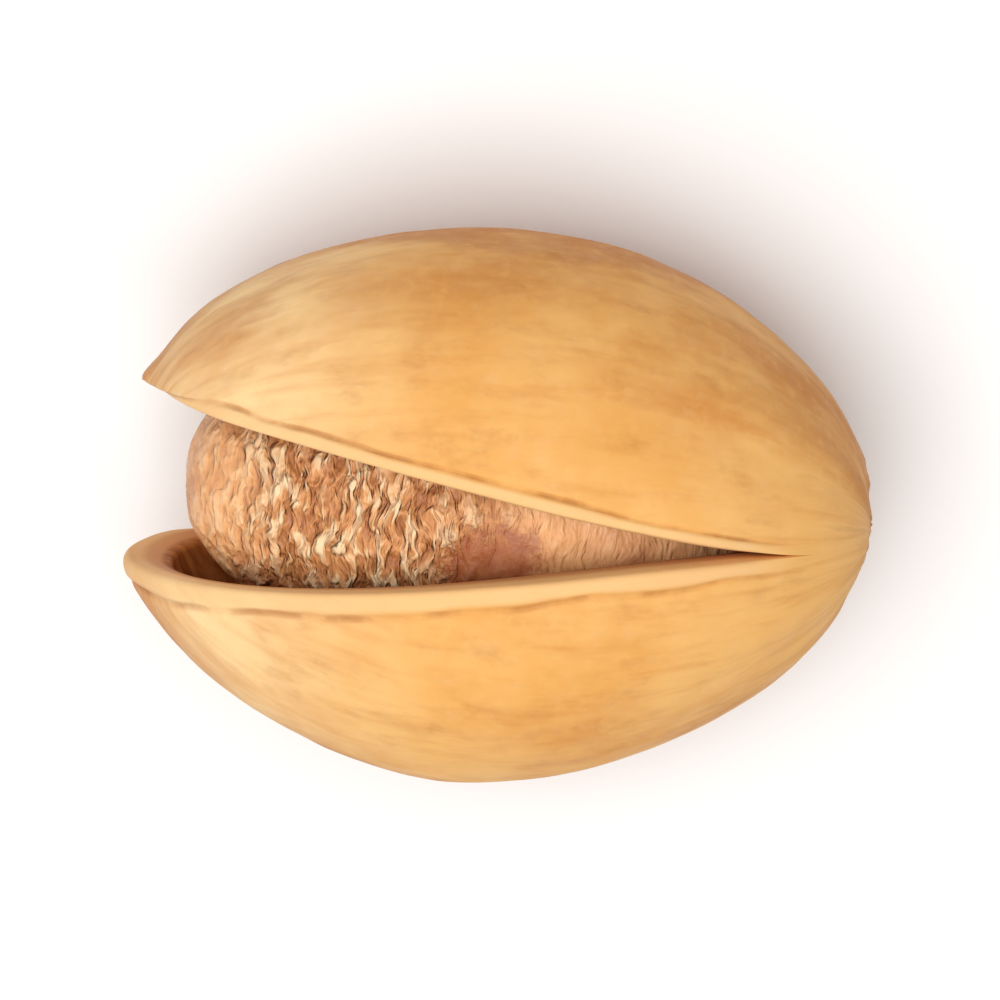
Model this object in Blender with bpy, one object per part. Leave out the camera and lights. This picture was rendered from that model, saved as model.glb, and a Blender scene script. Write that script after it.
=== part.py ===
"""A pistachio in its shell, gaping from the tip, lying with its split upwards.

The nut has two pieces. The shell is one woody solid: its two valves are still grown
together round the stem end and stand apart everywhere else. The kernel lies loose in it.

Metres, +Z up. +X points to the stem end and -X to the open tip, the suture between the
valves stands upright along X, and the origin is on the ground under the middle of the nut.
"""

import math
from collections import namedtuple

import bmesh
import bpy
from mathutils import Vector

MM = 0.001

# A profile is one edge of the nut's outline: its greatest distance from the middle line,
# where along the length that falls (0 is the tip and 1 the stem end), and how blunt its
# ends are (0.5 is an ellipse's end, and less is blunter).
Profile = namedtuple("Profile", "reach peak bluntness")

# An ovoid runs from x = tip to x = stem, with a profile for each of its four sides.
Ovoid = namedtuple("Ovoid", "tip stem left right crest belly")

# Driving dimensions of the nut.
NUT_LENGTH = 20.4 * MM
LEFT_VALVE = Profile(6.5 * MM, 0.58, 0.42)  # on +Y, from the suture outwards
RIGHT_VALVE = Profile(6.85 * MM, 0.55, 0.52)  # on -Y, and more pointed
CREST = Profile(6.9 * MM, 0.55, 0.41)  # from the middle line up to the suture
BELLY = Profile(6.7 * MM, 0.55, 0.41)  # from the middle line down to the suture
SQUARENESS = 2.1  # 2 is an ellipse's cross section
REST_CUT = 0.3 * MM  # belly taken off by the flat spot that the nut rests on
SUTURE_Y = 0.21 * MM  # the fuller right valve puts the suture this far off the middle

# The wall, which is thicker behind the tip and the stem.
WALL = 0.95 * MM
TIP_WALL = 1.35 * MM
STEM_WALL = 1.3 * MM

# The gape: how far each valve stands off the suture plane at the open tip.
TIP_GAPE = 2.5 * MM
GAPE_REACH = 21.4 * MM  # distance from the end of the split over which it opens
GAPE_POWER = 1.3

# The point of each valve.
LEFT_BEAK = 0.25 * MM
RIGHT_BEAK = 0.5 * MM
BEAK_SPREAD = 0.22  # radians round the tip

# The kernel, clear of the shell all round.
KERNEL_TIP_X = -8.7 * MM
KERNEL_STEM_X = 8.1 * MM
KERNEL_SIDE = Profile(4.7 * MM, 0.55, 0.41)
KERNEL_EDGE = Profile(5.2 * MM, 0.55, 0.41)
KERNEL_DROP = 0.1 * MM  # it lies a little below the shell's middle line

# Grid squares along each side of the six-sided sphere that the shapes grow from.
SHELL_GRID = 16
KERNEL_GRID = 12
# The split ends this many grid steps above and below the stem end.
SPLIT_END_ABOVE = 6
SPLIT_END_BELOW = 8

# The middle of the nut's length, on its middle line.
MIDDLE = Vector((0, SUTURE_Y, BELLY.reach - REST_CUT))
ON_SUTURE = 1e-6


def thinner(profile, wall):
    return profile._replace(reach=profile.reach - wall)


OUTSIDE = Ovoid(
    RIGHT_BEAK - NUT_LENGTH / 2,
    NUT_LENGTH / 2,
    LEFT_VALVE,
    RIGHT_VALVE,
    CREST,
    BELLY,
)
INSIDE = Ovoid(
    TIP_WALL - NUT_LENGTH / 2,
    NUT_LENGTH / 2 - STEM_WALL,
    thinner(LEFT_VALVE, WALL),
    thinner(RIGHT_VALVE, WALL),
    thinner(CREST, WALL),
    thinner(BELLY, WALL),
)
KERNEL = Ovoid(
    KERNEL_TIP_X, KERNEL_STEM_X, KERNEL_SIDE, KERNEL_SIDE, KERNEL_EDGE, KERNEL_EDGE
)


def clear_scene():
    for obj in list(bpy.data.objects):
        bpy.data.objects.remove(obj, do_unlink=True)


def reach_at(share, profile):
    """The profile's distance from the middle line, this share of the way to the stem end."""
    power = math.log(0.5) / math.log(profile.peak)
    wave = math.sin(math.pi * share**power)
    return profile.reach * max(wave, 0.0) ** profile.bluntness


def on_ovoid(direction, ovoid):
    """The ovoid's surface point that a unit direction from the nut's middle meets."""
    share = min(max((1 + direction.x) / 2, 0.0), 1.0)
    x = ovoid.tip + share * (ovoid.stem - ovoid.tip)
    across = math.hypot(direction.y, direction.z)
    if across < ON_SUTURE:
        return Vector((x, 0, 0))
    y, z = direction.y / across, direction.z / across
    rounding = (abs(y) ** SQUARENESS + abs(z) ** SQUARENESS) ** (-1 / SQUARENESS)
    side = reach_at(share, ovoid.left if y > 0 else ovoid.right)
    height = reach_at(share, ovoid.crest if z > 0 else ovoid.belly)
    return Vector((x, side * y * rounding, height * z * rounding))


def round_grid(squares):
    """A closed sphere of six gridded patches. Each vertex is a unit direction."""
    mesh = bmesh.new()
    bmesh.ops.create_cube(mesh, size=2)
    bmesh.ops.subdivide_edges(
        mesh, edges=mesh.edges[:], cuts=squares - 1, use_grid_fill=True
    )
    for vertex in mesh.verts:
        even = Vector([math.tan(c * math.pi / 4) for c in vertex.co])
        vertex.co = even.normalized()
    return mesh


def split_angle(steps):
    return steps * math.radians(90) / SHELL_GRID


def split_point(steps):
    """Where the split ends on the outside: this many grid steps above the stem end."""
    angle = split_angle(steps)
    return on_ovoid(Vector((math.cos(angle), 0, math.sin(angle))), OUTSIDE)


def gape(direction):
    """How far the valve stands off the suture plane in this direction."""
    upper, lower = split_point(SPLIT_END_ABOVE), split_point(-SPLIT_END_BELOW)
    point = on_ovoid(direction, OUTSIDE)
    height_share = (point.z - lower.z) / (upper.z - lower.z)
    ahead = lower.x + height_share * (upper.x - lower.x) - point.x
    opened = min(max(ahead / GAPE_REACH, 0.0), 1.0)
    return TIP_GAPE * math.sin(opened * math.pi / 2) ** GAPE_POWER


def beak(direction, valve):
    """How far the point of this valve stands forward in this direction."""
    length = LEFT_BEAK if valve > 0 else RIGHT_BEAK
    from_tip = direction.angle(Vector((-1, 0, 0)))
    return length * math.exp(-((from_tip / BEAK_SPREAD) ** 2))


def cut_split(mesh):
    """Parts the sphere's seam, except for the stretch round the stem end."""
    above, below = split_angle(SPLIT_END_ABOVE), split_angle(SPLIT_END_BELOW)
    parted = []
    for edge in mesh.edges:
        if any(abs(vertex.co.y) > ON_SUTURE for vertex in edge.verts):
            continue
        middle = (edge.verts[0].co + edge.verts[1].co) / 2
        if not -below < math.atan2(middle.z, middle.x) < above:
            parted.append(edge)
    bmesh.ops.split_edges(mesh, edges=parted)


def valve_of(vertex):
    """+1 or -1 for the valve that a vertex is on, and 0 where the two are joined."""
    if abs(vertex.co.y) > ON_SUTURE:
        return int(math.copysign(1, vertex.co.y))
    sides = {face.calc_center_median().y > 0 for face in vertex.link_faces}
    if len(sides) > 1:
        return 0
    return 1 if True in sides else -1


def cut_rest_spot(mesh):
    """Takes the belly off at the ground, which leaves a flat beside the split on each valve."""
    cut = bmesh.ops.bisect_plane(
        mesh,
        geom=mesh.verts[:] + mesh.edges[:] + mesh.faces[:],
        plane_co=(0, 0, 0),
        plane_no=(0, 0, 1),
        clear_inner=True,
    )
    rims = [part for part in cut["geom_cut"] if isinstance(part, bmesh.types.BMEdge)]
    bmesh.ops.holes_fill(mesh, edges=rims)


def shell_mesh():
    mesh = round_grid(SHELL_GRID)
    cut_split(mesh)
    valve_layer = mesh.verts.layers.int.new("valve")
    for vertex in mesh.verts:
        vertex[valve_layer] = valve_of(vertex)
    walled = bmesh.ops.extrude_face_region(mesh, geom=mesh.faces[:], use_keep_orig=True)
    inner = {part for part in walled["geom"] if isinstance(part, bmesh.types.BMVert)}
    for vertex in mesh.verts:
        direction = vertex.co.copy()
        valve = vertex[valve_layer]
        if vertex in inner:
            point = on_ovoid(direction, INSIDE)
        else:
            point = on_ovoid(direction, OUTSIDE)
            point.x -= beak(direction, valve)
        point.y += valve * gape(direction)
        vertex.co = point + MIDDLE
    cut_rest_spot(mesh)
    bmesh.ops.recalc_face_normals(mesh, faces=mesh.faces[:])
    return mesh


def kernel_mesh():
    mesh = round_grid(KERNEL_GRID)
    for vertex in mesh.verts:
        vertex.co = on_ovoid(vertex.co, KERNEL) + MIDDLE
        vertex.co.z -= KERNEL_DROP
    return mesh


def material(name, colour, roughness):
    made = bpy.data.materials.new(name)
    made.use_nodes = True
    surface = made.node_tree.nodes["Principled BSDF"]
    surface.inputs["Base Color"].default_value = (*colour, 1)
    surface.inputs["Roughness"].default_value = roughness
    surface.inputs["Metallic"].default_value = 0
    return made


def add_node(name, mesh, finish):
    data = bpy.data.meshes.new(name)
    mesh.to_mesh(data)
    mesh.free()
    data.shade_smooth()
    data.set_sharp_from_angle(angle=math.radians(40))
    data.materials.append(finish)
    made = bpy.data.objects.new(name, data)
    bpy.context.scene.collection.objects.link(made)


def main():
    clear_scene()
    add_node("shell", shell_mesh(), material("shell_tan", (0.80, 0.46, 0.17), 0.5))
    add_node("kernel", kernel_mesh(), material("kernel_skin", (0.58, 0.24, 0.1), 0.6))


main()
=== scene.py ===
# %% [markdown]
# # A pistachio in its shell
#
# This lesson finishes one roasted pistachio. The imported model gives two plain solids, the
# shell and the kernel, at their real size and place. Here each is grown again as a fine mesh
# on the same curves, so that the nut keeps its size, and then gets its rim, its wrinkles,
# its stem scar and its colours.

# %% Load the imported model
import math
from collections import namedtuple

import bmesh
import bpy
from mathutils import Matrix, Vector, noise


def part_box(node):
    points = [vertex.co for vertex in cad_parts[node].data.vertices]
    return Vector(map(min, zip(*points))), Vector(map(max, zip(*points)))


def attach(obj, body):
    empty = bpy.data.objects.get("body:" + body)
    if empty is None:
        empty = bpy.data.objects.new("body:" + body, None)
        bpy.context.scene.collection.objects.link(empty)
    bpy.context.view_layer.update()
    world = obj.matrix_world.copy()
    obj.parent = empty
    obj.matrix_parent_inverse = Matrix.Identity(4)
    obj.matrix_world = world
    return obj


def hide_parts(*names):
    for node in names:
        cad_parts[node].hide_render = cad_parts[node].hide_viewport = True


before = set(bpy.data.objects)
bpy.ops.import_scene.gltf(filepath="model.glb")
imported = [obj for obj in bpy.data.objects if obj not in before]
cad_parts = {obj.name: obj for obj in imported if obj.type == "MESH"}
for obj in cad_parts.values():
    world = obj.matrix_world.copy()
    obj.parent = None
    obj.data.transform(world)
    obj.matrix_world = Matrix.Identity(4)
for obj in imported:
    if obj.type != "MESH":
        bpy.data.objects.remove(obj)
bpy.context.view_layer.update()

MM = 0.001
shell_low, shell_high = (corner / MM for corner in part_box("shell"))
kernel_low, kernel_high = (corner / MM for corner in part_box("kernel"))
print("shell, mm:", shell_low, shell_high)
print("kernel, mm:", kernel_low, kernel_high)

# %% [markdown]
# ## The shape that both pieces grow from
#
# A pistachio is an egg that is blunt at the stem and pointed at the tip. A lathe can't turn
# it, because the two valves aren't alike and the nut is deeper than it is wide. So a formula
# gives its girth at each step along the length, once for each valve and once for the suture,
# the line where the valves meet. Everything is worked out in millimetres, with +X to the
# stem end and the suture standing upright along X.

# %% Profiles and ovoids
# A profile is one edge of the outline: its greatest distance from the middle line, where
# along the length that falls (0 is the tip), and how blunt its ends are (0.5 is an ellipse's).
Profile = namedtuple("Profile", "reach peak bluntness")
# An ovoid runs from x = tip to x = stem, with a profile for each of its four sides.
Ovoid = namedtuple("Ovoid", "tip stem left right crest belly")

REST_CUT = 0.3  # the belly is this much short of its full depth, where the nut rests
KERNEL_DROP = 0.1
WALL = 0.95
TIP_WALL = 1.35
STEM_WALL = 1.3
TIP_REACH = 0.5  # the longer valve's point stands this far in front of the ovoid
SQUARENESS = 2.1
ON_SUTURE = 1e-6

kernel_middle = (kernel_low + kernel_high) / 2
MIDDLE = Vector((0, kernel_middle.y, kernel_middle.z + KERNEL_DROP))
LEFT_VALVE = Profile(6.5, 0.58, 0.42)
RIGHT_VALVE = Profile(6.95, 0.55, 0.52)
CREST = Profile(shell_high.z - MIDDLE.z, 0.55, 0.41)
BELLY = Profile(MIDDLE.z + REST_CUT, 0.55, 0.41)


def thinner(profile, wall):
    return profile._replace(reach=profile.reach - wall)


OUTSIDE = Ovoid(
    shell_low.x + TIP_REACH, shell_high.x, LEFT_VALVE, RIGHT_VALVE, CREST, BELLY
)
INSIDE = Ovoid(
    shell_low.x + TIP_WALL,
    shell_high.x - STEM_WALL,
    thinner(LEFT_VALVE, WALL),
    thinner(RIGHT_VALVE, WALL),
    thinner(CREST, WALL),
    thinner(BELLY, WALL),
)


def reach_at(share, profile):
    """The profile's distance from the middle line, this share of the way to the stem end."""
    power = math.log(0.5) / math.log(profile.peak)
    wave = math.sin(math.pi * share**power)
    return profile.reach * max(wave, 0.0) ** profile.bluntness


def on_ovoid(direction, ovoid):
    """The ovoid's surface point that a unit direction from the nut's middle meets."""
    share = min(max((1 + direction.x) / 2, 0.0), 1.0)
    x = ovoid.tip + share * (ovoid.stem - ovoid.tip)
    across = math.hypot(direction.y, direction.z)
    if across < ON_SUTURE:
        return Vector((x, 0, 0))
    y, z = direction.y / across, direction.z / across
    rounding = (abs(y) ** SQUARENESS + abs(z) ** SQUARENESS) ** (-1 / SQUARENESS)
    side = reach_at(share, ovoid.left if y > 0 else ovoid.right)
    height = reach_at(share, ovoid.crest if z > 0 else ovoid.belly)
    return Vector((x, side * y * rounding, height * z * rounding))


print("middle of the nut, mm:", MIDDLE)

# %% [markdown]
# ## A sphere with no poles
#
# The mesh starts as a cube whose faces are divided into squares and blown up to a sphere.
# A UV sphere would be quicker, but its poles pinch the surface, and here they would sit on
# the tip or in the suture, where the nut shows most. The squares can be crowded towards the
# suture, where the shell's rim needs them.


# %% Rounded grid
def round_grid(squares, crowding=1.0):
    """A closed sphere of six gridded patches. Each vertex is a unit direction."""
    mesh = bmesh.new()
    bmesh.ops.create_cube(mesh, size=2)
    bmesh.ops.subdivide_edges(
        mesh, edges=mesh.edges[:], cuts=squares - 1, use_grid_fill=True
    )
    for vertex in mesh.verts:
        x, y, z = vertex.co
        y = math.copysign(abs(y) ** crowding, y)
        even = Vector([math.tan(c * math.pi / 4) for c in (x, y, z)])
        vertex.co = even.normalized()
    return mesh


sample = round_grid(4)
print("a sphere of 4 squares a side has", len(sample.verts), "vertices")
sample.free()

# %% [markdown]
# ## The split
#
# A ripe shell splits along its suture from the tip, and stays fused round the stem end. So
# the sphere's seam is cut only between two angles above and below the stem, and each valve
# then swings away from the suture: not at all at the end of the split, and by about two and
# a half millimetres at the tip. A hinge would open in a straight line, but a dried shell has
# bowed, so a power of a sine wave gives the opening. Each valve also ends in its own point.

# %% Split and gape
SPLIT_ABOVE = math.radians(33.75)
SPLIT_BELOW = math.radians(45)
# How far each valve stands off the suture at the tip, and how late along the split it opens.
Gape = namedtuple("Gape", "tip power")
LEFT_GAPE = Gape(2.5, 1.3)
RIGHT_GAPE = Gape(2.6, 1.9)
GAPE_REACH = 21.4
# A valve's point: how far it stands forward, its spread round the tip in radians, and how
# far it lies off the suture and below the middle line, as shares of its distance ahead.
Beak = namedtuple("Beak", "length spread aside below")
LEFT_BEAK = Beak(0.3, 0.12, 0.05, 0.0)
RIGHT_BEAK = Beak(0.46, 0.3, 0.08, 0.12)


def split_point(angle):
    return on_ovoid(Vector((math.cos(angle), 0, math.sin(angle))), OUTSIDE)


SPLIT_TOP, SPLIT_BOTTOM = split_point(SPLIT_ABOVE), split_point(-SPLIT_BELOW)


def gape(direction, valve=1):
    """How far the valve stands off the suture plane in this direction."""
    point = on_ovoid(direction, OUTSIDE)
    share = (point.z - SPLIT_BOTTOM.z) / (SPLIT_TOP.z - SPLIT_BOTTOM.z)
    ahead = SPLIT_BOTTOM.x + share * (SPLIT_TOP.x - SPLIT_BOTTOM.x) - point.x
    opened = min(max(ahead / GAPE_REACH, 0.0), 1.0)
    opening = LEFT_GAPE if valve > 0 else RIGHT_GAPE
    return opening.tip * math.sin(opened * math.pi / 2) ** opening.power


def beak(direction, valve):
    """How far the point of this valve stands forward in this direction."""
    point = LEFT_BEAK if valve > 0 else RIGHT_BEAK
    aim = Vector((-1, valve * point.aside, -point.below))
    return point.length * math.exp(-((direction.angle(aim) / point.spread) ** 2))


def cut_split(mesh):
    """Parts the sphere's seam, except for the stretch round the stem end."""
    parted = []
    for edge in mesh.edges:
        if any(abs(vertex.co.y) > ON_SUTURE for vertex in edge.verts):
            continue
        middle = (edge.verts[0].co + edge.verts[1].co) / 2
        if not -SPLIT_BELOW < math.atan2(middle.z, middle.x) < SPLIT_ABOVE:
            parted.append(edge)
    bmesh.ops.split_edges(mesh, edges=parted)
    print("seam edges parted:", len(parted))


def valve_of(vertex):
    """+1 or -1 for the valve that a vertex is on, and 0 where the two are joined."""
    if abs(vertex.co.y) > ON_SUTURE:
        return int(math.copysign(1, vertex.co.y))
    sides = {face.calc_center_median().y > 0 for face in vertex.link_faces}
    if len(sides) > 1:
        return 0
    return 1 if True in sides else -1


tip_gape = sum(gape(Vector((-1, 0, 0)), valve) for valve in (1, -1))
print("opening at the tip, mm:", round(tip_gape, 2))

# %% [markdown]
# ## The shell's relief
#
# The outside of the shell isn't an even egg. It has broad lumps, a few long ridges that run
# out from the stem, and beside the split a flat lip with a fine crease behind it. Each is a
# height above the smooth shape. At the left valve's tip the lip falls back, and leaves the
# point standing alone. The stem scar is the rough patch where the nut hung from its cluster:
# fibres torn across, in short ridges, with folds that run out from it. Noise gives all of
# these, because nothing that grows repeats itself.

# %% Relief of the outside
# A valve's lip: how far behind the split its crease runs, what is added to that at the tip,
# how high the lip stands, how deep the crease is, and the radius of the rim's rounding.
Lip = namedtuple("Lip", "crease tip_crease height depth roll")
LEFT_LIP = Lip(0.42, -0.2, 0.04, 0.08, 0.13)
RIGHT_LIP = Lip(0.64, 0.0, 0.05, 0.07, 0.2)
TIP_LENGTH = 1.5
LEFT_RECESS = 0.3  # the left lip stands this far behind the point at the tip
RIGHT_CURL = 0.35  # below the tip, the right valve's rim curls in by this much
SCAR_ANGLE = math.radians(-20)  # round the stem end, below the middle line
SCAR_HALF_LENGTH = 2.7
SCAR_HALF_WIDTH = 1.7
SCAR_RIDGE = 0.16
SCAR_FOLD = 0.16
STEM_RIDGE = 0.055
# Lumps of one size: their height, how many there are to the millimetre, and a shift that
# keeps one size from lining up with another.
Lumps = namedtuple("Lumps", "height density shift")
SHELL_LUMPS = (
    Lumps(0.13, 0.16, Vector((3.1, 0.4, 9.2))),
    Lumps(0.05, 0.42, Vector((1.7, 5.3, 2.2))),
    Lumps(0.012, 1.6, Vector((0, 0, 0))),
)


def smooth_step(low, high, value):
    """0 up to low and 1 from high, with an S-shaped rise between. High may be the lower."""
    share = min(max((value - low) / (high - low), 0.0), 1.0)
    return share * share * (3 - 2 * share)


def lumpy(point, layers):
    return sum(each.height * noise.noise(point * each.density + each.shift) for each in layers)


def bell(value, at, spread):
    return math.exp(-(((value - at) / spread) ** 2))


def creased(place):
    """Noise with sharp ridges: 1 on a ridge and 0 in the hollows."""
    return 1 - min(abs(noise.noise(place)) * 2.2, 1.0)


SCAR_MIDDLE = split_point(SCAR_ANGLE)
SCAR_ALONG = (split_point(SCAR_ANGLE + 0.05) - split_point(SCAR_ANGLE - 0.05)).normalized()


def scar_reach(point):
    """Distance from the scar's middle, as a share of the way to its ragged edge."""
    away = point - SCAR_MIDDLE
    along = away.dot(SCAR_ALONG)
    across = away - SCAR_ALONG * along
    turn = math.atan2(away.y, along)
    ragged = 0.3 * noise.noise(Vector((math.cos(turn) * 1.6, math.sin(turn) * 1.6, 2.0)))
    ragged += 0.25 * noise.noise(point * 1.3)
    return math.hypot(along / SCAR_HALF_LENGTH, across.length / SCAR_HALF_WIDTH) + ragged


def scar_share(point):
    """1 on the stem scar and 0 off it."""
    return 1 - smooth_step(0.3, 1.25, scar_reach(point))


def scar_relief(point):
    """Torn fibres on the scar, and folds that run out from it over the shell."""
    away = point - SCAR_MIDDLE
    turn = math.atan2(away.y, away.dot(SCAR_ALONG))
    turn += 0.25 * noise.noise(point * 0.8)
    around = Vector((math.cos(turn) * 3.0, math.sin(turn) * 3.0, away.length * 0.25))
    torn = creased(point * 1.6) * creased(point * 0.8 + Vector((7, 3, 1)))
    folds = bell(scar_reach(point), 1.1, 0.6) * (creased(around) - 0.5)
    return scar_share(point) * SCAR_RIDGE * (torn - 0.5) + SCAR_FOLD * folds


def nearness_to_tip(point):
    return math.exp(-(((point.x - OUTSIDE.tip) / TIP_LENGTH) ** 2))


def lip_share(point, valve):
    """Distance from the split, as a share of the distance to the crease behind the lip."""
    lip = LEFT_LIP if valve > 0 else RIGHT_LIP
    wander = noise.noise(Vector((point.x * 0.5, point.z * 0.35, valve * 3.3)))
    wander += 0.12 * noise.noise(Vector((point.x * 1.7, point.z * 1.2, valve * 7.1)))
    narrowed = 1 - 0.3 * smooth_step(0.0, 8.0, point.x)
    crease = lip.crease * narrowed * (1 + 0.3 * wander)
    crease += lip.tip_crease * nearness_to_tip(point)
    return abs(point.y) / crease


def curl(point, valve):
    """How far the right valve's rim curls in under the kernel's end."""
    if valve >= 0:
        return 0.0
    return RIGHT_CURL * nearness_to_tip(point) * smooth_step(0.8, -3.0, point.z)


def lip_relief(share, valve):
    """A flat lip with a crease behind it."""
    lip = LEFT_LIP if valve > 0 else RIGHT_LIP
    return lip.height * smooth_step(1.1, 0.7, share) - lip.depth * bell(share, 1.0, 0.17)


def shell_relief(direction, point, valve):
    """Height of the outside above the smooth shape, in millimetres."""
    turn = math.atan2(point.z, point.y)
    fan = Vector((point.x * 0.1, math.cos(turn) * 4.2, math.sin(turn) * 4.2))
    near_stem = smooth_step(-2.0, 9.0, point.x)
    ridges = STEM_RIDGE * noise.noise(fan) * (0.25 + near_stem)
    fused = 0.35 + 0.65 * min(gape(direction) / 0.4, 1.0)
    lip = lip_relief(lip_share(point, valve), valve) * fused
    off_scar = (ridges + lip) * (1 - scar_share(point))
    return lumpy(point, SHELL_LUMPS) + off_scar + scar_relief(point)


print("scar's middle, mm:", SCAR_MIDDLE + MIDDLE)

# %% [markdown]
# ## The rim
#
# A shell breaks open with a rim that is rounded over on the outside. The bevel operator
# would need a sharp edge with room beside it, and the crowded squares leave none. So the
# rounding is part of the shape: within a short distance of the suture the outer surface
# rolls down by the height of a circle's arc, and the inner one rolls up.

# %% Rim rounding
TIP_ROLL = 0.05  # added to the lip's own rounding at the tip
INNER_ROLL = 0.16
RIM_BULGE = 0.05
RIM_CUTS = 4


def rolled(from_suture, radius):
    """How far a rounded edge has dropped at this distance from the suture."""
    if from_suture >= radius:
        return 0.0
    return radius - math.sqrt(radius**2 - (radius - from_suture) ** 2)


def rolling(direction):
    """0 where the valves are fused and 1 where the split is open."""
    return smooth_step(0.0, 0.25, gape(direction))


print("the rim drops at the split by, mm:", rolled(0.0, LEFT_LIP.roll), rolled(0.0, RIGHT_LIP.roll))

# %% [markdown]
# ## The outside of the shell
#
# One sheet of squares becomes the outside of both valves. It is shaped in two passes. The
# first gives the smooth valves with their points. The second moves each vertex along the
# normal that the smooth valve has there, so that lumps and ridges stand straight up from the
# surface. Each vertex also keeps numbers that the finish will read: how far across the lip
# it is, whether it is beside the open split or on the inside, whether it is on the scar, and
# its place along the grain.

# %% Outside
ShellLayers = namedtuple("ShellLayers", "valve direction lip open scar inside grain")


def pushed_forward(direction, point, valve, lip):
    """How far this part of the valve stands in front of the ovoid."""
    if valve <= 0:
        return beak(direction, valve)
    behind_crease = smooth_step(0.65, 1.15, lip)
    recess = LEFT_RECESS * nearness_to_tip(point) * (1 - behind_crease)
    return beak(direction, valve) * behind_crease - recess


def shape_outside(mesh, layers):
    for vertex in mesh.verts:
        vertex[layers.valve] = valve_of(vertex)
        vertex[layers.direction] = vertex.co
    for vertex in mesh.verts:
        direction = vertex[layers.direction]
        valve = vertex[layers.valve]
        point = on_ovoid(direction, OUTSIDE)
        vertex[layers.lip] = lip_share(point, valve)
        point.x -= pushed_forward(direction, point, valve, vertex[layers.lip])
        point.y += valve * gape(direction, valve) + curl(point, valve)
        vertex.co = point
    mesh.normal_update()
    for vertex in mesh.verts:
        direction = vertex[layers.direction]
        valve = vertex[layers.valve]
        point = on_ovoid(direction, OUTSIDE)
        lip = LEFT_LIP if valve > 0 else RIGHT_LIP
        radius = lip.roll + TIP_ROLL * nearness_to_tip(point)
        drop = rolled(abs(point.y), radius) * rolling(direction)
        vertex.co += vertex.normal * (shell_relief(direction, point, valve) - drop)
        vertex[layers.open] = rolling(direction)
        vertex[layers.scar] = scar_share(point)
    print("vertices on the outside:", len(mesh.verts))


# %% [markdown]
# ## The inside and the rim
#
# Inside, the wall is smooth where the kernel lay against it, so it needs no relief. Between
# the two walls runs the broken rim. It starts as one strip of squares along the whole split,
# and has to be divided before it can bulge, or its edges would stay sharp.


# %% Inside and rim
def shape_inside(verts, layers):
    for vertex in verts:
        direction = vertex[layers.direction]
        point = on_ovoid(direction, INSIDE)
        outwards = on_ovoid(direction, OUTSIDE) - point
        rise = rolled(abs(point.y), INNER_ROLL) * rolling(direction)
        point += outwards.normalized() * rise
        valve = vertex[layers.valve]
        point.y += valve * gape(direction, valve) + curl(point, valve)
        vertex.co = point
        vertex[layers.inside] = 1.0
        vertex[layers.lip] = 0.0
        vertex[layers.scar] = 0.0


def round_rim(mesh, inner, layers):
    """Divides the strip between the two walls and bulges it a little into the split."""
    across = [edge for edge in mesh.edges if len(inner.intersection(edge.verts)) == 1]
    split = bmesh.ops.subdivide_edges(mesh, edges=across, cuts=RIM_CUTS)
    for part in split["geom_inner"]:
        if not isinstance(part, bmesh.types.BMVert):
            continue
        direction = part[layers.direction]
        share = part[layers.inside]
        bulge = 4 * share * (1 - share) * RIM_BULGE * rolling(direction)
        part.co.y -= part[layers.valve] * bulge
    print("squares along the rim:", len(across))


# %% [markdown]
# ## Growing the shell
#
# Now the parts come together. The outside is extruded as a whole: the operator copies the
# sheet and joins the two along the cut, which makes the rim. The copy is moved to the inside
# of the wall. This gives one closed solid, as the real shell is, and the wall can thicken at
# the tip and the stem, which a Solidify modifier can't do. Last, the belly is pressed flat
# where the nut rests.

# %% Shell mesh
SHELL_GRID = 88  # squares along each side of the six-sided sphere
CROWDING = 1.45
GROUND_SOFTNESS = 0.05
GRAIN_GIRTH = 6  # the grain is read round a circle of this radius, whatever the girth


def settled(height):
    """Presses the belly flat on the ground with a soft edge."""
    return (height + math.hypot(height, GROUND_SOFTNESS)) / 2


def shell_mesh():
    mesh = round_grid(SHELL_GRID, CROWDING)
    cut_split(mesh)
    kinds = mesh.verts.layers
    layers = ShellLayers(
        kinds.int.new("valve"),
        kinds.float_vector.new("direction"),
        kinds.float.new("lip"),
        kinds.float.new("open"),
        kinds.float.new("scar"),
        kinds.float.new("inside"),
        kinds.float_vector.new("grain"),
    )
    shape_outside(mesh, layers)
    walled = bmesh.ops.extrude_face_region(mesh, geom=mesh.faces[:], use_keep_orig=True)
    inner = {part for part in walled["geom"] if isinstance(part, bmesh.types.BMVert)}
    shape_inside(inner, layers)
    round_rim(mesh, inner, layers)
    for vertex in mesh.verts:
        turn = math.atan2(vertex.co.z, vertex.co.y)
        around = math.cos(turn) * GRAIN_GIRTH, math.sin(turn) * GRAIN_GIRTH
        vertex[layers.grain] = (vertex.co.x, *around)
        vertex.co += MIDDLE
        vertex.co.z = settled(vertex.co.z)
        vertex.co *= MM
    bmesh.ops.recalc_face_normals(mesh, faces=mesh.faces[:])
    return mesh


def make_piece(name, mesh, body="root"):
    data = bpy.data.meshes.new(name)
    mesh.to_mesh(data)
    mesh.free()
    data.shade_smooth()
    piece = bpy.data.objects.new(name, data)
    bpy.context.scene.collection.objects.link(piece)
    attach(piece, body)
    print(name, "triangles:", sum(len(face.vertices) - 2 for face in data.polygons))
    return piece


shell = make_piece("split_shell", shell_mesh())
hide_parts("shell")

# %% [markdown]
# ## The kernel's folds
#
# The seed's skin dries on it in wrinkles. Towards the tip they are fine folds that run
# across the kernel, and over the middle it lies smoother and is streaked lengthwise. Noise
# gives the broad folds, read on stretched and bent coordinates so that they run one way
# without looking combed. The mesh stops at folds that its squares can hold, and the finish
# adds the finer ones.

# %% Folds of the skin
# Places in the noise, far apart, where the three parts of a bend are read.
BEND_SHIFTS = (Vector((31, 7, 3)), Vector((2, 43, 11)), Vector((17, 5, 29)))


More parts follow.
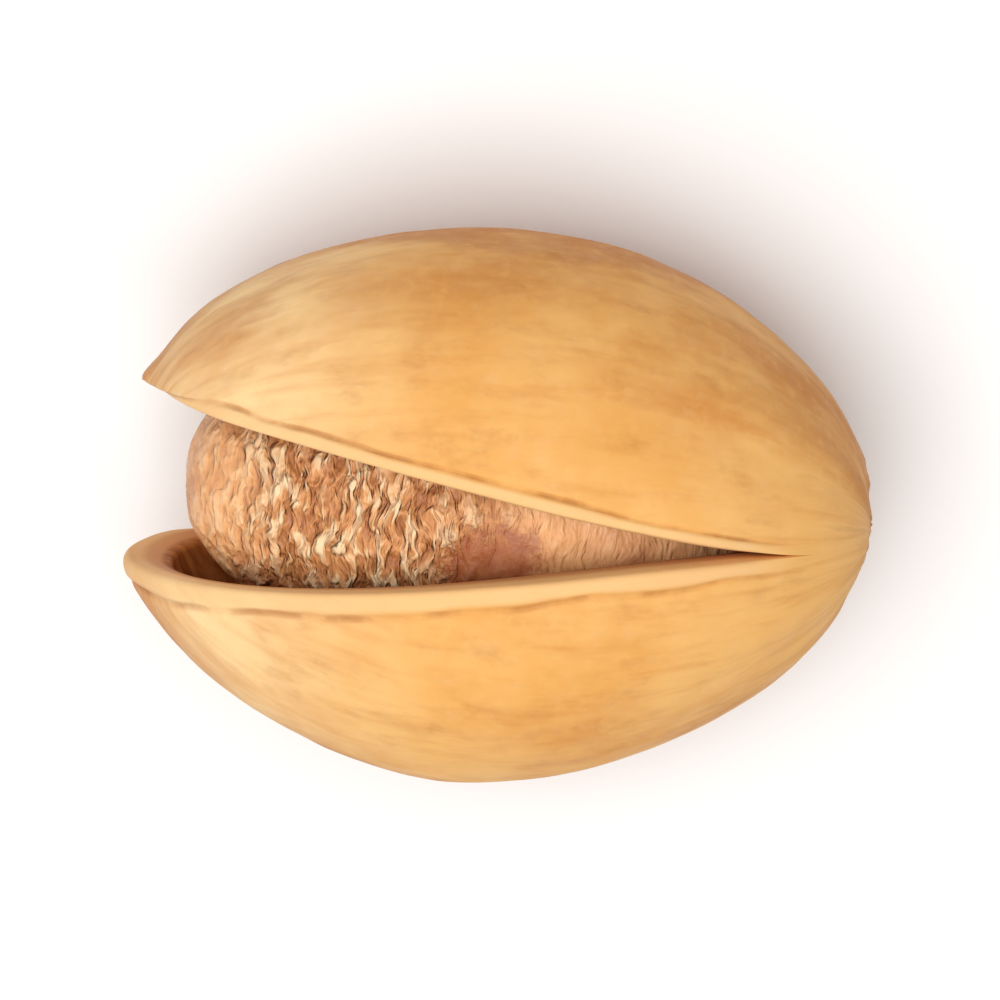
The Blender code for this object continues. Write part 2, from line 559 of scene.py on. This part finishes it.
def wandering(point):
    """A direction and length that change slowly from place to place."""
    return Vector([noise.noise(point + shift) for shift in BEND_SHIFTS])


def fold_height(point):
    """The folds across the kernel: about 0 in a hollow and 1 on a fold."""
    bent = point + wandering(point * 0.4) * 0.8
    bent += wandering(point * 1.3 + Vector((5, 5, 5))) * 0.2
    return 0.5 + 0.8 * noise.noise(Vector((bent.x * 2.3, bent.y * 0.7, bent.z * 0.7)))


def streak_height(point):
    """Finer creases along the kernel, which show where the folds fade."""
    turn = math.atan2(point.z, point.y) + 0.12 * noise.noise(point * 0.6)
    around = Vector((point.x * 0.3, math.cos(turn) * 7, math.sin(turn) * 7))
    return 0.5 + 0.6 * noise.noise(around)


def folded_share(point):
    """How strongly the skin is folded across: most behind the tip, little past the middle."""
    behind_tip = 0.25 + 0.75 * smooth_step(-7.6, -5.6, point.x)
    return 0.12 + 0.88 * behind_tip * smooth_step(1.2, -2.2, point.x)


for x in (-8, -5, 0, 5):
    print("share of folds at x =", x, "mm:", round(folded_share(Vector((x, 0, 0))), 2))

# %% [markdown]
# ## The kernel's mesh
#
# The kernel is a sphere of even squares on its own ovoid, which is blunter than the shell's.
# It needs no split and no wall, and the squares can all be small, since the whole surface
# is folded. Each vertex keeps its fold's height and how strongly it is folded.

# %% Kernel mesh
KERNEL_GRID = 126
KERNEL_SIDE = Profile((kernel_high.y - kernel_low.y) / 2, 0.55, 0.34)
KERNEL_EDGE = Profile((kernel_high.z - kernel_low.z) / 2, 0.55, 0.36)
KERNEL = Ovoid(
    kernel_low.x, kernel_high.x, KERNEL_SIDE, KERNEL_SIDE, KERNEL_EDGE, KERNEL_EDGE
)
KERNEL_LUMPS = (
    Lumps(0.1, 0.3, Vector((2, 2, 7))),
    Lumps(0.05, 0.9, Vector((0, 0, 0))),
)
STREAK_DEPTH = 0.06
FOLD_DEPTH = 0.16  # added where the skin is folded


def kernel_mesh():
    mesh = round_grid(KERNEL_GRID)
    fold = mesh.verts.layers.float.new("fold")
    folded = mesh.verts.layers.float.new("folded")
    for vertex in mesh.verts:
        vertex.co = on_ovoid(vertex.co, KERNEL)
    mesh.normal_update()
    heights = []
    for vertex in mesh.verts:
        point = vertex.co.copy()
        share = folded_share(point)
        vertex[folded] = share
        vertex[fold] = share * fold_height(point) + (1 - share) * streak_height(point)
        depth = STREAK_DEPTH + FOLD_DEPTH * share
        height = lumpy(point, KERNEL_LUMPS) + depth * (vertex[fold] - 0.5)
        heights.append(height)
        vertex.co = (vertex.co + vertex.normal * height + MIDDLE) * MM
        vertex.co.z -= KERNEL_DROP * MM
    print("kernel relief, mm:", min(heights), max(heights))
    bmesh.ops.recalc_face_normals(mesh, faces=mesh.faces[:])
    return mesh


kernel = make_piece("wrinkled_kernel", kernel_mesh())
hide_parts("kernel")

# %% [markdown]
# ## Node helpers
#
# Both finishes are built from the same few nodes: noise, smooth steps and mixes. These
# helpers keep each finish short. Colours are written as they look on screen and turned to
# linear light, which is what the shader works in.


# %% Node helpers
def paint(red, green, blue):
    """A screen colour, 0 to 255, as the linear colour that the shader takes."""
    return (*[(channel / 255) ** 2.2 for channel in (red, green, blue)], 1.0)


def add_node(tree, kind, sockets, **settings):
    made = tree.nodes.new(kind)
    for name, value in settings.items():
        setattr(made, name, value)
    for name, value in sockets.items():
        if isinstance(value, bpy.types.NodeSocket):
            tree.links.new(value, made.inputs[name])
        else:
            made.inputs[name].default_value = value
    return made


def attribute(tree, name, output="Fac"):
    return add_node(tree, "ShaderNodeAttribute", {}, attribute_name=name).outputs[output]


def stretched(tree, place, scale):
    """The coordinates times scale, one number for each axis."""
    sockets = {"Vector": place, "Scale": scale}
    return add_node(tree, "ShaderNodeMapping", sockets).outputs["Vector"]


def cloud(tree, place, scale, detail=3.0, roughness=0.5):
    """Noise around 0.5, with scale lumps to the millimetre."""
    sockets = {"Vector": place, "Scale": scale, "Detail": detail, "Roughness": roughness}
    return add_node(tree, "ShaderNodeTexNoise", sockets).outputs["Fac"]


def levels(tree, value, low, high, to_low=0.0, to_high=1.0):
    """An S-shaped rise from to_low at low to to_high at high."""
    sockets = {
        "Value": value,
        "From Min": low,
        "From Max": high,
        "To Min": to_low,
        "To Max": to_high,
    }
    made = add_node(tree, "ShaderNodeMapRange", sockets, interpolation_type="SMOOTHSTEP")
    return made.outputs["Result"]


def mixed(tree, share, first, second):
    """A colour between two others. A Mix node's colour sockets are 6 and 7, and 2 comes out."""
    sockets = {0: share, 6: first, 7: second}
    return add_node(tree, "ShaderNodeMix", sockets, data_type="RGBA").outputs[2]


def maths(tree, operation, first, second):
    sockets = {0: first, 1: second}
    return add_node(tree, "ShaderNodeMath", sockets, operation=operation).outputs[0]


def bumped(tree, height, depth, strength=1.0, under=None):
    """A bump whose depth is in metres, laid over another where under is given."""
    sockets = {"Height": height, "Distance": depth, "Strength": strength}
    if under is not None:
        sockets["Normal"] = under
    return add_node(tree, "ShaderNodeBump", sockets).outputs["Normal"]


def new_finish(name):
    finish = bpy.data.materials.new(name)
    finish.use_nodes = True
    return finish, finish.node_tree, finish.node_tree.nodes["Principled BSDF"]


print("mid grey on screen is, in linear light:", round(paint(128, 128, 128)[0], 3))

# %% [markdown]
# ## The shell's colours
#
# A roasted shell is cream to ochre, never one tan. Broad clouds of colour come first. Then
# the tip is made paler, partly its own pale tone and partly painted light where its slope
# turns from the lamp, and the stem end is made paler with painted light. The belly and the
# lower flanks are browned with painted shade, with an uneven border. Last come fibres that
# run from tip to stem, roasted flecks and small pale spots. Painting a picture would fit one
# view only, while noise read in the nut's own space fits all of it.

# %% Shell colours
CREAM = paint(252, 220, 166)
GOLD_LIGHT = paint(238, 184, 112)
GOLD = paint(229, 166, 90)
OCHRE = paint(198, 122, 54)
ROAST_AND_SHADE_BROWN = paint(164, 94, 42)


def millimetres(tree):
    """The place on the object, in millimetres."""
    place = add_node(tree, "ShaderNodeTexCoord", {}).outputs["Object"]
    return stretched(tree, place, (1 / MM, 1 / MM, 1 / MM))


def patch(tree, place, scale, low, high, most):
    """Noise patches: 0 between them and most inside them."""
    return levels(tree, cloud(tree, place, scale, 4.0, 0.6), low, high, 0.0, most)


def outer_colour(tree, place, grain):
    """Golden clouds, ochre patches, faint fibres and small roasted spots. Painted light pales the
    tip, along with its own pale tone, and the stem end, and painted shade browns the belly.
    """
    along = stretched(tree, grain, (0.45, 1, 1))
    axes = add_node(tree, "ShaderNodeSeparateXYZ", {"Vector": place}).outputs
    colour = mixed(tree, patch(tree, place, 0.25, 0.3, 0.7, 1.0), GOLD_LIGHT, GOLD)
    # The tip is paler: partly the shell's own pale tone, partly painted light where its slope turns
    # from the lamp.
    colour = mixed(tree, levels(tree, axes["X"], -1.0, -8.5, 0.0, 0.85), colour, CREAM)
    # Painted light: the stem end is made paler.
    colour = mixed(tree, levels(tree, axes["X"], 4.0, 9.5, 0.0, 0.8), colour, GOLD_LIGHT)
    # Painted shade: the belly and lower flanks are painted ochre and brown, with an uneven border.
    uneven = levels(tree, cloud(tree, along, 0.4, 4.0, 0.6), 0.3, 0.7, -2.0, 2.0)
    belly = maths(tree, "ADD", axes["Z"], uneven)
    colour = mixed(tree, levels(tree, belly, 10.5, 5.0, 0.0, 0.75), colour, OCHRE)
    colour = mixed(tree, levels(tree, belly, 9.5, 6.0, 0.0, 0.25), colour, ROAST_AND_SHADE_BROWN)
    colour = mixed(tree, patch(tree, along, 0.3, 0.45, 0.75, 0.6), colour, OCHRE)
    fibres = stretched(tree, grain, (0.15, 1, 1))
    colour = mixed(tree, patch(tree, fibres, 2.2, 0.45, 0.8, 0.35), colour, OCHRE)
    colour = mixed(tree, patch(tree, along, 1.5, 0.5, 0.9, 0.45), colour, ROAST_AND_SHADE_BROWN)
    return mixed(tree, patch(tree, place, 2.2, 0.45, 0.8, 0.35), colour, GOLD_LIGHT)


print("ochre in linear light:", [round(channel, 3) for channel in OCHRE[:3]])

# %% [markdown]
# ## The lip, the scar and the inside
#
# The numbers kept in the mesh place these, so they follow the shape whatever it is. The lip
# is cream, and the crease behind it is painted brown as shade, unevenly along its length. The
# broken rim shows plain wood, and inside, the wall is brown, painted darker as shade. The scar
# is pale, pinkish and dry, with pits and a ragged edge.

# %% Lip, scar and inside
LIP_PALE = paint(242, 196, 138)
BREAK = paint(214, 154, 102)
LINING_WITH_SHADE = paint(150, 84, 40)
LINING_LIGHT = paint(196, 130, 74)
SCAR_PALE = paint(236, 202, 166)
SCAR_PINK = paint(220, 172, 138)
SCAR_DARK = paint(150, 96, 62)


def crease_share(tree, place):
    """1 in the crease behind the lip, less in random patches, and 0 elsewhere. It drives the
    crease's bump and its painted shade.
    """
    lip = attribute(tree, "lip")
    crease = maths(tree, "MULTIPLY", levels(tree, lip, 0.78, 1.0), levels(tree, lip, 1.25, 1.0))
    patchy = levels(tree, cloud(tree, place, 0.9, 3.0), 0.35, 0.65, 0.1, 0.6)
    crease = maths(tree, "MULTIPLY", crease, patchy)
    return maths(tree, "MULTIPLY", crease, attribute(tree, "open"))


def with_lip(tree, colour, crease):
    across_lip = levels(tree, attribute(tree, "lip"), 0.95, 0.6, 0.0, 0.7)
    band = maths(tree, "MULTIPLY", across_lip, attribute(tree, "open"))
    colour = mixed(tree, band, colour, LIP_PALE)
    # Painted shade: the crease is painted brown.
    return mixed(tree, crease, colour, ROAST_AND_SHADE_BROWN)


def with_scar(tree, colour, place):
    torn = mixed(tree, patch(tree, place, 2.2, 0.35, 0.65, 1.0), SCAR_PALE, SCAR_PINK)
    pits = patch(tree, stretched(tree, place, (1.0, 1.4, 0.6)), 2.4, 0.5, 0.7, 0.6)
    torn = mixed(tree, pits, torn, SCAR_DARK)
    edge = patch(tree, place, 1.8, 0.3, 0.7, 0.5)
    ragged = maths(tree, "ADD", attribute(tree, "scar"), edge)
    return mixed(tree, levels(tree, ragged, 0.3, 1.3, 0.0, 0.8), colour, torn)


def with_inside(tree, colour, grain):
    inside = attribute(tree, "inside")
    colour = mixed(tree, levels(tree, inside, 0.1, 0.5), colour, BREAK)
    # Inside, the wall's own brown is painted darker as shade, with paler patches.
    shaded_lining = mixed(tree, patch(tree, grain, 1.0, 0.35, 0.65, 1.0), LINING_WITH_SHADE, LINING_LIGHT)
    return mixed(tree, levels(tree, inside, 0.75, 1.0), colour, shaded_lining)


print("numbers read from the mesh:", ShellLayers._fields[2:])

# %% [markdown]
# ## The shell's finish
#
# One material joins all of this. The shell is hardly glossy, and the scar not at all. Three
# fine bumps lie over the mesh: the crease, the fibres and the pores. They are too small for
# the squares to hold. A little light passes under the surface, as it does in thin wood.

# %% Shell finish
CREASE_BUMP = -0.05 * MM
FIBRE_BUMP = 0.03 * MM
PORE_BUMP = 0.03 * MM
LIGHT_REACH = 0.8 * MM  # how far light spreads under either surface


def shell_relief_bumps(tree, place, grain, crease):
    bumps = bumped(tree, crease, CREASE_BUMP, 1.0)
    fibres = cloud(tree, stretched(tree, grain, (0.2, 1, 1)), 2.4, 4.0, 0.6)
    bumps = bumped(tree, fibres, FIBRE_BUMP, 0.4, bumps)
    return bumped(tree, cloud(tree, place, 3.5, 3.0, 0.6), PORE_BUMP, 0.3, bumps)


def shell_finish():
    finish, tree, surface = new_finish("roasted_shell")
    place = millimetres(tree)
    grain = attribute(tree, "grain", "Vector")
    crease = crease_share(tree, place)
    colour = outer_colour(tree, place, grain)
    colour = with_lip(tree, colour, crease)
    colour = with_scar(tree, colour, place)
    colour = with_inside(tree, colour, grain)
    tree.links.new(colour, surface.inputs["Base Color"])
    rough = levels(tree, cloud(tree, place, 0.8, 3.0), 0.3, 0.7, 0.52, 0.68)
    rough = levels(tree, attribute(tree, "scar"), 0.0, 1.0, rough, 0.85)
    tree.links.new(rough, surface.inputs["Roughness"])
    tree.links.new(shell_relief_bumps(tree, place, grain, crease), surface.inputs["Normal"])
    surface.inputs["Specular IOR Level"].default_value = 0.18
    surface.inputs["Subsurface Weight"].default_value = 0.08
    surface.inputs["Subsurface Radius"].default_value = (1.0, 0.5, 0.25)
    surface.inputs["Subsurface Scale"].default_value = LIGHT_REACH
    print("shell finish nodes:", len(tree.nodes))
    return finish


shell.data.materials.append(shell_finish())

# %% [markdown]
# ## The kernel's fine folds
#
# The finest wrinkles of the skin are narrower than the mesh's squares, so they are noise in
# the shader, bent and stretched in the same way as the broad folds. Thin winding lines make
# the sharp creases between them: they are where the noise crosses its middle value.


# %% Fine folds
def crease_lines(tree, place, scale, width):
    """0 along thin winding lines and 1 away from them."""
    from_line = maths(tree, "SUBTRACT", cloud(tree, place, scale, 2.0, 0.5), 0.5)
    return levels(tree, maths(tree, "ABSOLUTE", from_line, 0.0), 0.0, width)


def fine_folds(tree, place):
    """Two outputs: 0 in a hollow and 1 on a fold, and 0 in a sharp crease and 1 beside it."""
    sockets = {"Vector": place, "Scale": 0.9, "Detail": 2.0}
    bend = add_node(tree, "ShaderNodeTexNoise", sockets).outputs["Color"]
    bend = stretched(tree, bend, (0.7, 0.7, 0.7))
    bent = add_node(tree, "ShaderNodeVectorMath", {0: bend, 1: place}, operation="ADD")
    across = stretched(tree, bent.outputs["Vector"], (1.0, 0.34, 0.34))
    finer = levels(tree, cloud(tree, across, 4.2, 2.5, 0.45), 0.28, 0.72)
    return finer, crease_lines(tree, across, 2.8, 0.09)


square = kernel_high.x * math.radians(90) / KERNEL_GRID
print("a square of the kernel's mesh is about, mm:", round(square, 2))

# %% [markdown]
# ## The kernel's finish
#
# The skin is tan, with painted shade that browns and darkens the hollows and creases and a
# painted highlight that pales the folds, so the height of the folds drives the colour: the broad
# folds that the mesh keeps, added to the finer ones. Towards the stem end the folds fade and
# the skin is redder, and one bare spot is smooth, painted darker as the shade under the rim.

# %% Kernel finish
SKIN_SHADE = paint(150, 82, 44)
SKIN_BROWN = paint(216, 148, 92)
SKIN_TAN = paint(242, 180, 122)
SKIN_HIGHLIGHT = paint(255, 226, 180)
SKIN_RED = paint(176, 104, 68)
BARE_SPOT_SHADED = paint(154, 78, 40)
BARE_SPOT_AT = (0.0, -0.8, 11.2)  # on top of the kernel, towards the right valve
FINE_FOLD_BUMP = 0.22 * MM
CREASE_LINE_BUMP = 0.06 * MM


def folded_colour(tree, height, creases, folded):
    """Tan skin, with painted shade, brown and dark, in the hollows and creases, and a painted
    highlight on the folds.
    """
    # Painted shade in the hollows and creases, and a painted highlight on the folds' crests.
    hollow_shade_brown = maths(tree, "MULTIPLY", levels(tree, height, 0.6, 0.36), folded)
    colour = mixed(tree, hollow_shade_brown, SKIN_TAN, SKIN_BROWN)
    crest = maths(tree, "MULTIPLY", levels(tree, height, 0.48, 0.8, 0.0, 0.9), folded)
    colour = mixed(tree, crest, colour, SKIN_HIGHLIGHT)
    hollow = maths(tree, "MULTIPLY", levels(tree, height, 0.34, 0.15, 0.0, 0.6), folded)
    colour = mixed(tree, hollow, colour, SKIN_SHADE)
    sharp = maths(tree, "MULTIPLY", levels(tree, creases, 1.0, 0.0, 0.0, 0.5), folded)
    return mixed(tree, sharp, colour, SKIN_SHADE)


def from_bare_spot(tree, place, mottle):
    """Millimetres from the bare spot's middle, with a ragged edge."""
    sockets = {0: place, 1: BARE_SPOT_AT}
    away = add_node(tree, "ShaderNodeVectorMath", sockets, operation="DISTANCE")
    ragged = levels(tree, mottle, 0.3, 0.7, -0.3, 0.3)
    return maths(tree, "ADD", ragged, away.outputs["Value"])


def kernel_finish():
    finish, tree, surface = new_finish("seed_skin")
    place = millimetres(tree)
    folded = attribute(tree, "folded")
    finer, creases = fine_folds(tree, place)
    broad = maths(tree, "MULTIPLY", attribute(tree, "fold"), 0.35)
    height = maths(tree, "ADD", broad, maths(tree, "MULTIPLY", finer, 0.65))
    colour = folded_colour(tree, height, creases, folded)
    red = levels(tree, cloud(tree, place, 0.35, 3.0), 0.45, 0.65, 0.0, 0.8)
    smooth = maths(tree, "SUBTRACT", 1.0, folded)
    colour = mixed(tree, maths(tree, "MULTIPLY", red, smooth), colour, SKIN_RED)
    mottle = cloud(tree, place, 2.2, 4.0, 0.6)
    from_spot = from_bare_spot(tree, place, mottle)
    # The bare spot: smooth reddish-brown skin, painted darker as shade under the right valve's rim.
    colour = mixed(tree, levels(tree, from_spot, 1.9, 0.9, 0.0, 0.9), colour, BARE_SPOT_SHADED)
    colour = mixed(tree, levels(tree, mottle, 0.35, 0.65, 0.0, 0.2), colour, SKIN_BROWN)
    tree.links.new(colour, surface.inputs["Base Color"])
    rough = levels(tree, mottle, 0.3, 0.7, 0.42, 0.6)
    tree.links.new(rough, surface.inputs["Roughness"])
    off_spot = levels(tree, from_spot, 0.8, 1.7, 0.3, 1.0)
    depth = maths(tree, "MULTIPLY", levels(tree, folded, 0.0, 1.0, 0.25, 1.0), off_spot)
    skin = bumped(tree, maths(tree, "MULTIPLY", finer, depth), FINE_FOLD_BUMP, 0.9)
    skin = bumped(tree, maths(tree, "MULTIPLY", creases, depth), CREASE_LINE_BUMP, 0.8, skin)
    skin = bumped(tree, cloud(tree, place, 9.0, 3.0, 0.6), PORE_BUMP, 0.4, skin)
    tree.links.new(skin, surface.inputs["Normal"])
    surface.inputs["Subsurface Weight"].default_value = 0.1
    surface.inputs["Subsurface Radius"].default_value = (1.0, 0.4, 0.2)
    surface.inputs["Subsurface Scale"].default_value = LIGHT_REACH
    print("kernel finish nodes:", len(tree.nodes))
    return finish


kernel.data.materials.append(kernel_finish())

# %% [markdown]
# ## The floor
#
# The nut lies on a plain pale floor, large enough to have no edge in view.

# %% Floor
FLOOR_SIZE = 2000 * MM

floor_mesh = bmesh.new()
bmesh.ops.create_grid(floor_mesh, x_segments=1, y_segments=1, size=FLOOR_SIZE / 2)
floor_data = bpy.data.meshes.new("floor")
floor_mesh.to_mesh(floor_data)
floor_mesh.free()
floor = bpy.data.objects.new("floor", floor_data)
bpy.context.scene.collection.objects.link(floor)
floor_finish, _, floor_surface = new_finish("floor_white")
floor_surface.inputs["Base Color"].default_value = paint(246, 246, 246)
floor_surface.inputs["Roughness"].default_value = 0.9
floor.data.materials.append(floor_finish)
print("the floor is", FLOOR_SIZE, "m across")

# %% [markdown]
# ## The light
#
# One large soft light hangs overhead, a little towards the tip, and a pale world fills the
# shadows. A small light would give the folds hard black edges, and two lights would give
# the nut two shadows.

# %% Light
KEY_DIRECTION = Vector((-0.13, -0.04, 1.0)).normalized()
KEY_DISTANCE = 0.3
KEY_SIZE = 0.26
KEY_POWER = 0.98
WORLD_STRENGTH = 0.35

key_data = bpy.data.lights.new("key", "AREA")
key_data.size = KEY_SIZE
key_data.energy = KEY_POWER
key_data.color = (1.0, 0.98, 0.96)
key = bpy.data.objects.new("key", key_data)
key.location = MIDDLE * MM + KEY_DIRECTION * KEY_DISTANCE
key.rotation_euler = KEY_DIRECTION.to_track_quat("Z", "Y").to_euler()
bpy.context.scene.collection.objects.link(key)

world = bpy.data.worlds.new("studio")
world.use_nodes = True
sky = world.node_tree.nodes["Background"]
sky.inputs["Color"].default_value = (1.0, 0.99, 0.99, 1.0)
sky.inputs["Strength"].default_value = WORLD_STRENGTH
bpy.context.scene.world = world
print("the light hangs at", key.location)

# %% [markdown]
# ## The camera
#
# The camera looks almost straight down into the split, tilted a little to the +Y side and
# turned a little about its own axis. A long lens from far off keeps a small object from
# looking like a large one seen close up.

# %% Camera
FRAME_WIDTH = 27.5 * MM  # how much the view takes in, level with the middle of the nut
LENS = 220
SENSOR = 36
TILT = math.radians(11)
ROLL = math.radians(4.6)

backwards = Vector((0, math.sin(TILT), math.cos(TILT)))
level_right = Vector((1, 0, 0))
level_up = backwards.cross(level_right)
right = level_right * math.cos(ROLL) + level_up * math.sin(ROLL)
up = level_up * math.cos(ROLL) - level_right * math.sin(ROLL)
distance = FRAME_WIDTH * LENS / SENSOR
camera_data = bpy.data.cameras.new("camera")
camera_data.lens = LENS
camera_data.sensor_width = SENSOR
camera_data.clip_start = distance / 20
camera_data.clip_end = distance * 50
camera = bpy.data.objects.new("camera", camera_data)
turned = Matrix((right, up, backwards)).transposed().to_4x4()
camera.matrix_world = Matrix.Translation(MIDDLE * MM + backwards * distance) @ turned
bpy.context.scene.collection.objects.link(camera)
bpy.context.scene.camera = camera
bpy.context.scene.view_settings.view_transform = "Standard"
print("camera is", round(distance / MM), "mm away")
